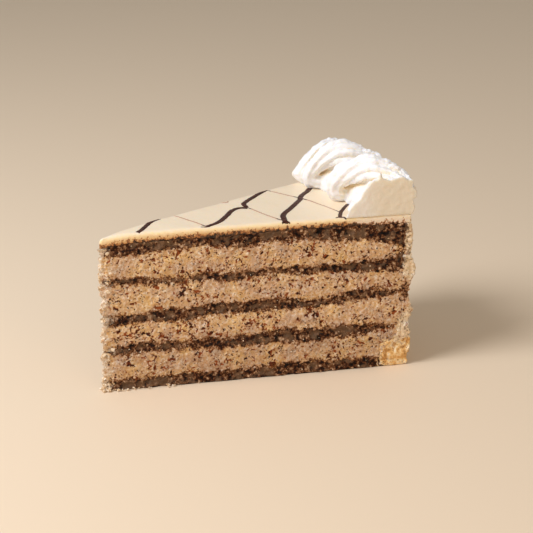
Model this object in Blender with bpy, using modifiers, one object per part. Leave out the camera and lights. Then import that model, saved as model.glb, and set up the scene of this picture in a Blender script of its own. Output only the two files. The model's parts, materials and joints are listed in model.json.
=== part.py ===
"""A slice of esterhazy torte: browned nut meringue sheets and nut cream in turn,
a poured icing with feathered chocolate strokes, a cream coat on the rim and a
piped rope of whipped cream along it.

+X runs from the tip to the rim along the slice's middle line, +Z is up, and
the origin is under the middle of the slice, on the surface it stands on.
"""

import math

import bmesh
import bpy
from mathutils import Vector, noise

MM = 0.001

# The slice: a twelfth of a 25 cm torte.
TORTE_RADIUS = 125.0 * MM
HALF_ANGLE = math.radians(15.0)
APEX_X = -63.4 * MM
NOSE = 1.3 * MM                 # the tip is blunt by this much
TIP_START = 2.3 * MM            # where the straight cut faces begin

# Heights of the faces between the layers, from the bottom up.
LEVELS = [z * MM for z in (0.0, 4.2, 15.5, 18.8, 28.9, 32.3, 43.2, 45.6, 56.6, 60.3)]
ICING_TOP = 64.2 * MM
ICING_EDGE = 1.3 * MM           # rounding of the icing's cut edge
# Its profile, as inset and drop in shares of that rounding.
ICING_PROFILE = [(0.0, 2.2), (0.0, 1.0), (0.3, 0.3), (1.0, 0.03)]
TIP_DROOP = 2.4 * MM            # how far the top sinks at the tip
TIP_DROOP_LENGTH = 7.0 * MM
LEVEL_WAVE = 0.9 * MM           # unevenness of the layers where they are cut
WAVE_LENGTH, WAVE_SHIFT = 14.0 * MM, 30.0 * MM
WAVE_FADE = 5.0 * MM            # the layers are even again this close to the rim
CAP_INSET = 4.0 * MM            # inside this the layers are flat
GAP = 0.3 * MM                  # between one piece and the next

# Steps of the outline.
FACE_STEPS = 31
RIM_STEPS = 9

# Relief of the cut faces: how far the middle of a layer swells, and its roughness.
MERINGUE_SWELL, MERINGUE_ROUGH, MERINGUE_RINGS = -0.35 * MM, 0.5 * MM, 1
CREAM_SWELL, CREAM_ROUGH, CREAM_RINGS = 0.25 * MM, 0.4 * MM, 3
CRAG_LENGTH = 5.0 * MM
CRAG_FADE_STEPS = 3             # the faces are even again this close to the rim
TIP_CRAGS, TIP_CRAG_LENGTH = 0.9 * MM, 3.0 * MM

# The coat on the rim, thicker at the lower front corner.
COAT_THICKNESS = 3.3 * MM
CORNER_COAT = 9.0 * MM
CORNER_TOP, CORNER_SLOPE = 12.6 * MM, 2.7 * MM
CORNER_ANGLE = math.radians(4.5)
COAT_TOP = LEVELS[-1] - 0.7 * MM
COAT_GAP = 0.4 * MM
COAT_ROUGH = 0.7 * MM
COAT_WAVE_AROUND, COAT_WAVE_UP = 9.0 * MM, 7.0 * MM
# Lumps of the coat at the front corner: height, swell and size.
COAT_LUMPS = [(z * MM, swell * MM, size * MM)
              for z, swell, size in ((53, 1.2, 3), (40, 2.2, 6), (23, 1.8, 3), (13, 0.9, 4))]
COAT_LUMP_ANGLE = math.radians(5.0)

# The feathered chocolate: each stroke as distances from the apex in millimetres
# and angles from the front cut face in degrees.
STROKE_WIDTH = 1.9 * MM
STROKE_RISE = 0.4 * MM
STROKE_SHOULDER = 0.4           # height of its edges, as a share of the rise
STROKE_START, STROKE_END = 0.45, 0.5    # width of its two ends, as shares of the width
STROKE_TAPER = 3.0              # each end's taper takes one part in this many
STROKE_STEPS = 3                # sections between two of its points
STROKES = [
    [(16.8, 3.5), (20.3, 16.0), (25.8, 24.5), (30.0, 26.8)],
    [(44.0, 3.0), (48.0, 6.5), (54.3, 13.3), (60.7, 18.7), (64.0, 19.2), (67.0, 17.8)],
    [(85.0, 28.2), (78.0, 26.8), (71.0, 24.0), (68.3, 22.4), (67.0, 19.2)],
    [(73.9, 2.2), (75.0, 6.0), (82.6, 12.8), (91.2, 17.6)],
    [(90.5, 19.6), (98.8, 21.4), (104.5, 23.6)],
    [(96.4, 2.2), (97.6, 4.2), (100.2, 6.9)],
]

# The piped rope: a star-shaped strand laid in leaning loops along the rim.
ROPE_RADIUS = 112.5 * MM        # from the apex to the rope's middle line
ROPE_HEIGHT = 73.8 * MM
LOOP_REACH = 7.0 * MM           # half the loops' width, to the strand's centre
LOOP_RISE = 4.8 * MM            # half the loops' height
LOOP_PITCH = math.radians(13.5)
LOOP_START = math.radians(3.25)
LOOP_LEAN = math.radians(3.5)
LOOPS_FROM, LOOPS_TO = -1.6, 3.6
STRAND_RADIUS = 6.9 * MM
STRAND_TEETH = 9
STRAND_GROOVE = 0.24            # depth of the grooves, as a share of the radius
GROOVE_SHARPNESS = 0.7          # below 1 the grooves are narrower than the ridges
STRAND_STEPS = 36               # sections in one loop
TOOTH_STEPS = 6
ROPE_CREST = 117.2 * MM         # the rope narrows upwards to a crest at this radius
CREST_HEIGHT = 22.0 * MM
FOOT_WIDTH, CREST_WIDTH = 1.05, 0.40
FAR_FOOT_WIDTH, FAR_CREST_WIDTH = 0.92, 0.80    # blunter towards the far cut
FAR_FROM, FAR_LENGTH = math.radians(15.0), math.radians(10.0)
FRONT_SPREAD, FRONT_SPREAD_ANGLE = 0.35, math.radians(6.0)
SAG_FROM, SAG_LENGTH, SAG = math.radians(20.0), math.radians(10.0), 0.38
LEAST_HEIGHT = 0.3              # however far it sags
# Behind the peak of the front cut the rope's outer half dips.
DIP_FROM, DIP_LENGTH = 113.0 * MM, 2.5 * MM
DIP, DIP_ANGLE = 0.28, math.radians(3.0)
BED_RADIUS, BED_HALF_WIDTH, BED_HEIGHT = 116.4 * MM, 8.4 * MM, 11.0 * MM
FRONT_BED_RISE, FRONT_BED_ANGLE = 6.5 * MM, math.radians(5.0)
BED_SQUARENESS = 0.75
BED_ROUND, BED_SECTIONS = 24, 40
BED_OVERRUN = 1.6               # the bed runs on past the two cuts
ROPE_VOXEL = 0.9 * MM
ROPE_TRIANGLES_KEPT = 0.235
CUTTER_MARGIN, CUTTER_HEIGHT, CUTTER_STEPS = 12.0 * MM, 40.0 * MM, 12


def clear_scene():
    for thing in list(bpy.data.objects):
        bpy.data.objects.remove(thing)
    for group in list(bpy.data.collections):
        bpy.data.collections.remove(group)


def make_collection(name):
    group = bpy.data.collections.new(name)
    bpy.context.scene.collection.children.link(group)
    return group


def make_material(name, color, roughness):
    material = bpy.data.materials.new(name)
    material.use_nodes = True
    shader = material.node_tree.nodes["Principled BSDF"]
    shader.inputs["Base Color"].default_value = (*color, 1.0)
    shader.inputs["Roughness"].default_value = roughness
    shader.inputs["Metallic"].default_value = 0.0
    return material


def make_object(name, mesh_source, group, material=None):
    """Turn a bmesh into an object of the given collection."""
    bmesh.ops.recalc_face_normals(mesh_source, faces=mesh_source.faces)
    mesh = bpy.data.meshes.new(name)
    mesh_source.to_mesh(mesh)
    mesh_source.free()
    if material:
        mesh.materials.append(material)
    thing = bpy.data.objects.new(name, mesh)
    group.objects.link(thing)
    return thing


def apply_modifiers(thing):
    """Bake an object's modifiers into its mesh."""
    depsgraph = bpy.context.evaluated_depsgraph_get()
    mesh = bpy.data.meshes.new_from_object(thing.evaluated_get(depsgraph))
    thing.modifiers.clear()
    thing.data = mesh


def smooth_step(value):
    value = min(1.0, max(0.0, value))
    return value * value * (3.0 - 2.0 * value)


def bell(value):
    return math.exp(-value * value)


def polar(radius, angle, z=0.0):
    """A point from its distance to the apex and its angle to the middle line."""
    return Vector((APEX_X + radius * math.cos(angle), radius * math.sin(angle), z))


def rim_radius(angle, z):
    """Where the layers end under the coat: further in at the lower front corner."""
    low = min(1.0, max(0.0, (CORNER_TOP - z) / CORNER_SLOPE))
    near = bell((angle + HALF_ANGLE) / CORNER_ANGLE)
    return TORTE_RADIUS - COAT_THICKNESS - CORNER_COAT * low * near


def level_height(level, point):
    """Height of the face above a layer, uneven and sinking towards the tip."""
    base = LEVELS[level] if level < len(LEVELS) else ICING_TOP
    if level == 0:
        return base
    from_apex = math.hypot(point.x - APEX_X, point.y)
    droop = TIP_DROOP * (base / ICING_TOP) ** 2 * math.exp(-from_apex / TIP_DROOP_LENGTH)
    from_rim = rim_radius(math.atan2(point.y, point.x - APEX_X), base) - from_apex
    wave = noise.noise(Vector((point.x, point.y, level * WAVE_SHIFT)) / WAVE_LENGTH)
    return base - droop + LEVEL_WAVE * wave * smooth_step(from_rim / WAVE_FADE)


def wedge_outline(z, inset=0.0, swell=0.0, rough=0.0, rim=None):
    """The slice's outline at a height, from the tip along the front cut, round
    the rim and back, moved inwards by inset, with the cut faces' relief."""
    def radius_at(angle):
        return (rim_radius(angle, z) if rim is None else rim) - inset

    def face_point(step, side):
        end_radius = radius_at(side * HALF_ANGLE)
        start = TIP_START + inset / math.tan(HALF_ANGLE)
        end = math.sqrt(end_radius ** 2 - inset ** 2)
        along = start + (end - start) * step / FACE_STEPS
        sample = Vector((along, side * CRAG_LENGTH, z * 2.0)) / CRAG_LENGTH
        fade = smooth_step((FACE_STEPS - step) / CRAG_FADE_STEPS)
        depth = inset - (swell + rough * noise.noise(sample)) * fade
        direction = Vector((math.cos(HALF_ANGLE), side * math.sin(HALF_ANGLE)))
        inwards = Vector((math.sin(HALF_ANGLE), -side * math.cos(HALF_ANGLE)))
        spot = direction * along + inwards * depth
        return Vector((APEX_X + spot.x, spot.y, z))

    front = [face_point(step, -1.0) for step in range(FACE_STEPS + 1)]
    back = [face_point(step, 1.0) for step in range(FACE_STEPS, -1, -1)]
    start_angle = math.atan2(front[-1].y, front[-1].x - APEX_X)
    end_angle = math.atan2(back[0].y, back[0].x - APEX_X)
    turn = (end_angle - start_angle) / RIM_STEPS
    angles = [start_angle + turn * step for step in range(1, RIM_STEPS)]
    around = [polar(radius_at(angle), angle, z) for angle in angles]
    crag = noise.noise(Vector((0.0, 0.0, z / TIP_CRAG_LENGTH))) * TIP_CRAGS if rough else 0.0
    nose = Vector((APEX_X + NOSE + inset / math.sin(HALF_ANGLE) + crag, 0.0, z))
    return front + around + back + [nose]


def set_heights(outline, level, shift):
    return [Vector((p.x, p.y, level_height(level, p) + shift)) for p in outline]


def loft(rings, flipped_bands=()):
    """A closed solid through a stack of rings, flat at both ends. The split of
    each band into triangles is fixed, so that neighbours' faces run alike."""
    solid = bmesh.new()
    rows = [[solid.verts.new(point) for point in ring] for ring in rings]
    count = len(rings[0])
    solid.faces.new(list(reversed(rows[0])))
    solid.faces.new(rows[-1])
    for band, (low, high) in enumerate(zip(rows, rows[1:])):
        for k in range(count):
            n = (k + 1) % count
            if band in flipped_bands:
                solid.faces.new((low[k], low[n], high[k]))
                solid.faces.new((low[n], high[n], high[k]))
            else:
                solid.faces.new((low[k], low[n], high[n]))
                solid.faces.new((low[k], high[n], high[k]))
    return solid


def ring_heights(level):
    """Heights of the rings round a layer's side, both of its edges included."""
    low, high = LEVELS[level], LEVELS[level + 1]
    bands = 1 + (CREAM_RINGS if level % 2 else MERINGUE_RINGS)
    return [low + (high - low) * band / bands for band in range(bands + 1)]


def layer_rings(level, swell, rough):
    """The rings of one layer between two levels, from its lower cap to its upper."""
    low, high = LEVELS[level], LEVELS[level + 1]
    half_gap = GAP / 2.0
    lower_edge = wedge_outline(low, rough=rough)
    upper_edge = wedge_outline(high, rough=rough)
    rings = [] if level == 0 else [
        [Vector((p.x, p.y, low + half_gap)) for p in wedge_outline(low, CAP_INSET)]]
    rings.append(set_heights(lower_edge, level, half_gap if level else 0.0))
    for height in ring_heights(level)[1:-1]:
        share = (height - low) / (high - low)
        crown = math.sin(math.pi * share)
        middle = wedge_outline(height, swell=swell * crown, rough=rough)
        rings.append([
            Vector((p.x, p.y,
                    level_height(level, p) * (1.0 - share) + level_height(level + 1, p) * share))
            for p in middle])
    rings.append(set_heights(upper_edge, level + 1, -half_gap))
    rings.append([Vector((p.x, p.y, high - half_gap)) for p in wedge_outline(high, CAP_INSET)])
    return rings


def build_layers(group):
    meringue = make_material("Browned nut meringue", (0.075, 0.042, 0.022), 0.85)
    cream = make_material("Nut cream", (0.56, 0.38, 0.22), 0.75)
    for level in range(len(LEVELS) - 1):
        number = level // 2 + 1
        if level % 2 == 0:
            rings = layer_rings(level, MERINGUE_SWELL, MERINGUE_ROUGH)
            name, material = f"nut_meringue_{number}", meringue
        else:
            rings = layer_rings(level, CREAM_SWELL, CREAM_ROUGH)
            name, material = f"nut_cream_{number}", cream
        flipped = () if level == 0 else (0,)
        make_object(name, loft(rings, flipped), group, material)


def stroke_points(stroke):
    """A smooth run of points through a stroke's few given ones, at the icing's top."""
    given = [polar(radius * MM, math.radians(angle) - HALF_ANGLE) for radius, angle in stroke]
    ends = [2.0 * given[0] - given[1]] + given + [2.0 * given[-1] - given[-2]]
    points = []
    for a, b, c, d in zip(ends, ends[1:], ends[2:], ends[3:]):
        for step in range(STROKE_STEPS):
            t = step / STROKE_STEPS
            points.append(0.5 * ((2 * b) + (c - a) * t + (2 * a - 5 * b + 4 * c - d) * t ** 2
                                 + (3 * b - a - 3 * c + d) * t ** 3))
    return points + [given[-1]]


def build_stroke(stroke, group):
    """One chocolate stroke: a low ridge sunk a little into the icing."""
    line = stroke_points(stroke)
    solid = bmesh.new()
    sections = []
    for index, spot in enumerate(line):
        before, after = line[max(index - 1, 0)], line[min(index + 1, len(line) - 1)]
        ahead = (after - before).normalized()
        across = Vector((-ahead.y, ahead.x, 0.0))
        share = index / (len(line) - 1)
        half = STROKE_WIDTH / 2.0
        half *= STROKE_START + (1.0 - STROKE_START) * smooth_step(share * STROKE_TAPER)
        half *= STROKE_END + (1.0 - STROKE_END) * smooth_step((1.0 - share) * STROKE_TAPER)
        shoulder = STROKE_RISE * STROKE_SHOULDER
        profile = ((-half, -STROKE_RISE), (-half, shoulder), (0.0, STROKE_RISE),
                   (half, shoulder), (half, -STROKE_RISE))
        sections.append([
            solid.verts.new(Vector((spot.x, spot.y, ICING_TOP + rise)) + across * side)
            for side, rise in profile])
    solid.faces.new(sections[0])
    solid.faces.new(list(reversed(sections[-1])))
    for low, high in zip(sections, sections[1:]):
        for k in range(len(low)):
            n = (k + 1) % len(low)
            solid.faces.new((low[k], high[k], high[n], low[n]))
    return make_object("stroke", solid, group)


def build_icing(group, cutters):
    """The poured icing, its cut edges rounded, with the chocolate strokes in it."""
    top = len(LEVELS)
    base = LEVELS[-1]
    edge_outline = wedge_outline(base, rough=CREAM_ROUGH, rim=TORTE_RADIUS)

    def ring(inset, drop):
        outline = wedge_outline(ICING_TOP, inset, rim=TORTE_RADIUS)
        rows = []
        for p in outline:
            from_apex = math.hypot(p.x - APEX_X, p.y)
            droop = TIP_DROOP * math.exp(-from_apex / TIP_DROOP_LENGTH)
            rows.append(Vector((p.x, p.y, ICING_TOP - drop - droop)))
        return rows

    flat_top = [Vector((p.x, p.y, ICING_TOP))
                for p in wedge_outline(ICING_TOP, CAP_INSET, rim=TORTE_RADIUS)]
    rings = [
        [Vector((p.x, p.y, base + GAP / 2.0))
         for p in wedge_outline(base, CAP_INSET, rim=TORTE_RADIUS)],
        set_heights(edge_outline, top - 1, GAP / 2.0),
        *(ring(inset * ICING_EDGE, drop * ICING_EDGE) for inset, drop in ICING_PROFILE),
        flat_top,
    ]
    material = make_material("White icing", (0.86, 0.76, 0.60), 0.3)
    icing = make_object("icing", loft(rings, (0,)), group, material)
    for stroke in STROKES:
        build_stroke(stroke, cutters)
    union = icing.modifiers.new("strokes", "BOOLEAN")
    union.operation = "UNION"
    union.operand_type = "COLLECTION"
    union.collection = cutters
    union.solver = "MANIFOLD"
    apply_modifiers(icing)
    for stroke in list(cutters.objects):
        bpy.data.objects.remove(stroke)


def coat_radius(angle, z):
    """The outer face of the coat, lumpy and swollen at the front corner."""
    around = angle * TORTE_RADIUS
    sample = Vector((around / COAT_WAVE_AROUND, z / COAT_WAVE_UP, 3.0))
    swell = COAT_ROUGH * noise.noise(sample)
    for height, rise, size in COAT_LUMPS:
        corner = bell((angle + HALF_ANGLE) / COAT_LUMP_ANGLE)
        swell += rise * corner * bell((z - height) / size)
    return TORTE_RADIUS + swell


def build_side_coat(group):
    """A curved wall behind the layers: a grid thickened and laid round the rim.
    Its rows and columns are the layers' own, so that the two fit."""
    heights = [0.0]
    for level in range(len(LEVELS) - 1):
        heights += ring_heights(level)[1:]
    heights[-1] = COAT_TOP
    solid = bmesh.new()
    bmesh.ops.create_grid(
        solid, x_segments=RIM_STEPS, y_segments=len(heights) - 1, size=1.0)
    inner = list(solid.verts)
    made = bmesh.ops.extrude_face_region(solid, geom=solid.faces[:], use_keep_orig=True)
    outer = [v for v in made["geom"] if isinstance(v, bmesh.types.BMVert)]
    for verts, outside in ((inner, False), (outer, True)):
        for v in verts:
            angle = v.co.x * HALF_ANGLE
            z = heights[round((v.co.y + 1.0) / 2.0 * (len(heights) - 1))]
            radius = coat_radius(angle, z) if outside else rim_radius(angle, z) + COAT_GAP
            v.co = polar(radius, angle, z)
    material = make_material("Cream coat", (0.72, 0.55, 0.36), 0.6)
    make_object("side_coat", solid, group, material)


def rope_centre(turns):
    """The strand's centre after a number of loops, and the loops' own centre."""
    phase = 2.0 * math.pi * turns
    angle = LOOP_PITCH * turns + LOOP_START - LOOP_LEAN * math.cos(phase) - HALF_ANGLE
    radius = ROPE_RADIUS + LOOP_REACH * math.cos(phase)
    height = ROPE_HEIGHT + LOOP_RISE * math.sin(phase)
    return polar(radius, angle, height), polar(ROPE_RADIUS, angle, ROPE_HEIGHT)


def add_strand(solid):
    """The star-shaped strand, swept along its loops."""
    around = STRAND_TEETH * TOOTH_STEPS
    steps = int((LOOPS_TO - LOOPS_FROM) * STRAND_STEPS)
    rows = []
    for step in range(steps + 1):
        turns = LOOPS_FROM + (LOOPS_TO - LOOPS_FROM) * step / steps
        spot, middle = rope_centre(turns)
        ahead = (rope_centre(turns + 0.002)[0] - rope_centre(turns - 0.002)[0]).normalized()
        outward = spot - middle
        outward = (outward - ahead * outward.dot(ahead)).normalized()
        across = ahead.cross(outward)
        row = []
        for k in range(around):
            turn = 2.0 * math.pi * k / around
            tooth = abs(math.cos(turn * STRAND_TEETH / 2.0)) ** GROOVE_SHARPNESS
            radius = STRAND_RADIUS * (1.0 - STRAND_GROOVE * (1.0 - tooth))
            row.append(solid.verts.new(
                spot + outward * (radius * math.cos(turn)) + across * (radius * math.sin(turn))))
        rows.append(row)
    join_rows(solid, rows)


def add_bed(solid):
    """The cream that fills the loops from below, so that nothing stands hollow."""
    def squared(value):
        return math.copysign(abs(value) ** BED_SQUARENESS, value)

    rows = []
    for section in range(BED_SECTIONS + 1):
        angle = BED_OVERRUN * HALF_ANGLE * (2.0 * section / BED_SECTIONS - 1.0)
        height = BED_HEIGHT + FRONT_BED_RISE * bell((angle + HALF_ANGLE) / FRONT_BED_ANGLE)
        rows.append([
            solid.verts.new(polar(
                BED_RADIUS + BED_HALF_WIDTH * squared(math.cos(2.0 * math.pi * k / BED_ROUND)),
                angle,
                ICING_TOP + height * squared(math.sin(2.0 * math.pi * k / BED_ROUND))))
            for k in range(BED_ROUND)])
    join_rows(solid, rows)


def join_rows(solid, rows):
    """Skin a run of closed sections and close its two ends."""
    solid.faces.new(list(reversed(rows[0])))
    solid.faces.new(rows[-1])
    count = len(rows[0])
    for low, high in zip(rows, rows[1:]):
        for k in range(count):
            n = (k + 1) % count
            solid.faces.new((low[k], low[n], high[n], high[k]))


def slump(point):
    """Draw the rope in to a crest on its inner side and let its far end sag."""
    radius = math.hypot(point.x - APEX_X, point.y)
    angle = math.atan2(point.y, point.x - APEX_X)
    from_front = angle + HALF_ANGLE
    rise = point.z - ICING_TOP
    if radius < ROPE_CREST:
        share = min(1.0, max(0.0, rise / CREST_HEIGHT))
        foot = FOOT_WIDTH * (1.0 + FRONT_SPREAD * bell(from_front / FRONT_SPREAD_ANGLE))
        far = smooth_step((from_front - FAR_FROM) / FAR_LENGTH)
        foot += (FAR_FOOT_WIDTH - foot) * far
        crest = CREST_WIDTH + (FAR_CREST_WIDTH - CREST_WIDTH) * far
        radius = ROPE_CREST - (ROPE_CREST - radius) * (foot + (crest - foot) * share)
    if from_front > SAG_FROM:
        rise *= max(LEAST_HEIGHT, 1.0 - SAG * ((from_front - SAG_FROM) / SAG_LENGTH) ** 1.5)
    behind_peak = smooth_step((radius - DIP_FROM) / DIP_LENGTH)
    rise *= 1.0 - DIP * behind_peak * bell(from_front / DIP_ANGLE)
    return polar(radius, angle, ICING_TOP + rise)


def build_rope_cutter(cutters):
    """The space over the icing between the two cuts, which trims the rope."""
    reach = TORTE_RADIUS + CUTTER_MARGIN
    base = ICING_TOP + GAP
    corners = [Vector((APEX_X, 0.0, base))]
    corners += [polar(reach, HALF_ANGLE * (2.0 * step / CUTTER_STEPS - 1.0), base)
                for step in range(CUTTER_STEPS + 1)]
    top = [corner + Vector((0.0, 0.0, CUTTER_HEIGHT)) for corner in corners]
    cutter = make_object("rope_cutter", loft([corners, top]), cutters)
    cutter.hide_render = True
    cutter.display_type = "WIRE"
    return cutter


def build_whipped_cream(group, cutters):
    """The piped rope: one skin round strand and bed, slumped and cut with the slice."""
    solid = bmesh.new()
    add_strand(solid)
    add_bed(solid)
    for v in solid.verts:
        v.co = slump(v.co)
    material = make_material("Whipped cream", (0.94, 0.90, 0.82), 0.5)
    rope = make_object("whipped_cream", solid, group, material)
    skin = rope.modifiers.new("one skin", "REMESH")
    skin.mode = "VOXEL"
    skin.voxel_size = ROPE_VOXEL
    thin = rope.modifiers.new("fewer faces", "DECIMATE")
    thin.ratio = ROPE_TRIANGLES_KEPT
    trim = rope.modifiers.new("cut with the slice", "BOOLEAN")
    trim.operation = "INTERSECT"
    trim.object = build_rope_cutter(cutters)
    trim.solver = "MANIFOLD"


def main():
    clear_scene()
    parts = make_collection("esterhazy_torte_slice")
    cutters = make_collection("cutters")
    build_layers(parts)
    build_icing(parts, cutters)
    build_side_coat(parts)
    build_whipped_cream(parts, cutters)


main()
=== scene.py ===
import json
import math
import random

import bpy
from mathutils import Euler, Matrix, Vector, noise
from mathutils.bvhtree import BVHTree
from mathutils.kdtree import KDTree

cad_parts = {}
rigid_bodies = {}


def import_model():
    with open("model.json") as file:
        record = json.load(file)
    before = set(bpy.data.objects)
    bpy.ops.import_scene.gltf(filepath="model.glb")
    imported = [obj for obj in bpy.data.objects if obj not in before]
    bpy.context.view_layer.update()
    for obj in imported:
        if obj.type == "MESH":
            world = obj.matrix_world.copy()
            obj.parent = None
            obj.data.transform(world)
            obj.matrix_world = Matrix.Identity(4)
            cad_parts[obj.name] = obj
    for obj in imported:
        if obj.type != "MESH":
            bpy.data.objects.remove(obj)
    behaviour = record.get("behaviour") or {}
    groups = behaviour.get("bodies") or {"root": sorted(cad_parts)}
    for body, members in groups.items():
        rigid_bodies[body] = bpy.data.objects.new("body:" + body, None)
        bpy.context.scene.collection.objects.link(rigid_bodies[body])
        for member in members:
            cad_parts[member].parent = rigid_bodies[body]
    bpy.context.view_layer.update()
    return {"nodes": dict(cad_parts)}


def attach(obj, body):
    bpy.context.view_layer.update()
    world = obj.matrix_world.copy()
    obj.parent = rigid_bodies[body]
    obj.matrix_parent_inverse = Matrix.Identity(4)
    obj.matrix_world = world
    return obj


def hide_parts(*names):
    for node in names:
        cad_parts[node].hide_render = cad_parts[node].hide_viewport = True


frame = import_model()
mm = 0.001

# The wedge that all pieces share: a twelfth of a 25 cm torte, tip at apexX, front cut at -Y.
wedge = {
    "apexX": -63.4 * mm,
    "radius": 125.0 * mm,
    "angle": 30.0,              # degrees
    "half": math.radians(15.0),
    "levels": [0.0, 4.2, 15.5, 18.8, 28.9, 32.3, 43.2, 45.6, 56.6, 60.3],    # mm
    "icingTop": 64.2,           # mm
    "droop": (2.4, 7.0),        # mm down at the tip, and over what length
    "wave": (0.9, 14.0, 30.0, 5.0),    # mm: height, length, shift per level, fade at the rim
    "coat": (3.3, 9.0, 12.6, 2.7, 4.5),    # mm, the corner's angle in degrees last
    "cutSkin": (0.7, 0.5),      # mm behind a cut where its own relief ends, and over what length
}


# Small helpers
def linear(hexColour):
    values = [int(hexColour[i:i + 2], 16) / 255.0 for i in (0, 2, 4)]
    values = [v / 12.92 if v <= 0.04045 else ((v + 0.055) / 1.055) ** 2.4 for v in values]
    return (*values, 1.0)


def addNode(tree, kind, inputs=None, ramp=None, **settings):
    # one node, its settings, and for each input a plain value or the node or socket that feeds it
    node = tree.nodes.new("ShaderNode" + kind)
    for name, value in settings.items():
        setattr(node, name, value)
    for socket, value in (inputs or {}).items():
        if isinstance(value, bpy.types.Node):
            value = next(output for output in value.outputs if output.enabled)
        if isinstance(value, bpy.types.NodeSocket):
            tree.links.new(value, node.inputs[socket])
        else:
            node.inputs[socket].default_value = value
    if ramp:
        stops = node.color_ramp.elements
        while len(stops) < len(ramp):
            stops.new(0.5)
        for stop, (position, colour) in zip(stops, ramp):
            stop.position = position
            stop.color = linear(colour)
    return node


def startMaterial(name, **shading):
    material = bpy.data.materials.new(name)
    material.use_nodes = True
    tree = material.node_tree
    shader = tree.nodes["Principled BSDF"]
    for socket, value in shading.items():
        shader.inputs[socket.replace("_", " ")].default_value = value
    place = addNode(tree, "TexCoord").outputs["Object"]
    inMm = addNode(tree, "VectorMath", {0: place, "Scale": 1000.0}, operation="SCALE")
    return material, tree, inMm.outputs[0]


def smooth(value):
    value = min(1.0, max(0.0, value))
    return value * value * (3.0 - 2.0 * value)


def bell(value):
    return math.exp(-value * value)


def polar(radius, angle, z=0.0):
    # radius and z in mm, angle in degrees from the front cut
    turn = math.radians(angle) - wedge["half"]
    return Vector((wedge["apexX"] + radius * mm * math.cos(turn), radius * mm * math.sin(turn), z * mm))


def fromApex(place):
    # distance from the apex in mm, and degrees from the front cut
    x, y = place.x - wedge["apexX"], place.y
    return math.hypot(x, y) / mm, math.degrees(math.atan2(y, x) + wedge["half"])


def rimAt(height, angle):
    # where the layers end and the coat begins, in mm from the apex, as the solids have it
    thick, corner, cornerTop, slope, cornerAngle = wedge["coat"]
    low = min(1.0, max(0.0, (cornerTop - height) / slope))
    return wedge["radius"] / mm - thick - corner * low * bell(angle / cornerAngle)


def levelHeight(level, place):
    # height in mm of the face above a layer, as the solids have it
    base = wedge["levels"][level]
    if level == 0:
        return base
    radius, angle = fromApex(place)
    droop, length = wedge["droop"]
    base -= droop * (base / wedge["icingTop"]) ** 2 * math.exp(-radius / length)
    height, waveLength, shift, fade = wedge["wave"]
    sample = Vector((place.x / mm, place.y / mm, level * shift)) / waveLength
    return base + height * noise.noise(sample) * smooth((rimAt(base, angle) - radius) / fade)


def deselectAll():
    if bpy.context.mode != "OBJECT":
        bpy.ops.object.mode_set(mode="OBJECT")
    bpy.ops.object.select_all(action="DESELECT")


def makeActive(piece):
    deselectAll()
    piece.select_set(True)
    bpy.context.view_layer.objects.active = piece


def besideCut(place):
    # 1 on either cut, 0 behind it
    radius, angle = fromApex(place)
    fromCut = radius * math.sin(math.radians(min(angle, wedge["angle"] - angle)))
    reach, fade = wedge["cutSkin"]
    return smooth((reach - fromCut) / fade)


def addObject(name, data):
    thing = bpy.data.objects.new(name, data)
    bpy.context.scene.collection.objects.link(thing)
    return thing


def joinPieces(name, pieces):
    makeActive(pieces[0])
    for piece in pieces:
        piece.select_set(True)
    bpy.ops.object.join()
    whole = bpy.context.active_object
    whole.name = whole.data.name = name
    return whole


def pickAll(piece):
    # into edit mode with everything selected
    makeActive(piece)
    bpy.ops.object.mode_set(mode="EDIT")
    bpy.ops.mesh.select_all(action="SELECT")


def pickNone(piece, kind):
    # in object mode, with nothing selected and that kind of part to pick
    makeActive(piece)
    bpy.ops.object.mode_set(mode="EDIT")
    bpy.ops.mesh.select_mode(type=kind)
    bpy.ops.mesh.select_all(action="DESELECT")
    bpy.ops.object.mode_set(mode="OBJECT")


def pickEdges(piece, wanted):
    # into edit mode with the edges both of whose ends are wanted
    pickNone(piece, "EDGE")
    spots = piece.data.vertices
    for edge in piece.data.edges:
        edge.select = all(wanted(spots[i].co) for i in edge.vertices)
    bpy.ops.object.mode_set(mode="EDIT")


def wedgeBlock(radius, low, high, sides):
    # a cylinder about the apex, cut down to the slice's wedge
    deselectAll()
    middle = (wedge["apexX"], 0.0, (low + high) / 2.0)
    bpy.ops.mesh.primitive_cylinder_add(vertices=sides, radius=radius, depth=high - low, location=middle)
    piece = bpy.context.active_object
    bpy.ops.object.transform_apply(location=True)
    bpy.ops.object.mode_set(mode="EDIT")
    for side in (-1.0, 1.0):
        outward = (-math.sin(wedge["half"]), side * math.cos(wedge["half"]), 0.0)
        bpy.ops.mesh.select_all(action="SELECT")
        bpy.ops.mesh.bisect(plane_co=middle, plane_no=outward, use_fill=True, clear_outer=True)
    bpy.ops.object.mode_set(mode="OBJECT")
    return piece


def addModifier(piece, kind, **settings):
    # a modifier, set and applied at once
    makeActive(piece)
    modifier = piece.modifiers.new(kind.lower(), kind)
    for name, value in settings.items():
        setattr(modifier, name, value)
    bpy.ops.object.modifier_apply(modifier=modifier.name)


def reliefTexture(name, kind, size, **settings):
    texture = bpy.data.textures.new(name, kind)
    texture.noise_scale = size * mm
    for key, value in settings.items():
        setattr(texture, key, value)
    return texture


def pushOut(piece, texture, depth, axis="NORMAL", group=""):
    # half of that depth out and half in, by a relief that stays in place in the world
    addModifier(piece, "DISPLACE", texture=texture, texture_coords="GLOBAL", direction=axis,
                vertex_group=group, strength=depth, mid_level=0.5)


def paintWeights(piece, name, weightAt):
    group = piece.vertex_groups.new(name=name)
    for vertex in piece.data.vertices:
        weight = weightAt(vertex.co)
        if weight > 0.0:
            group.add([vertex.index], min(1.0, weight), "REPLACE")


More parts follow.
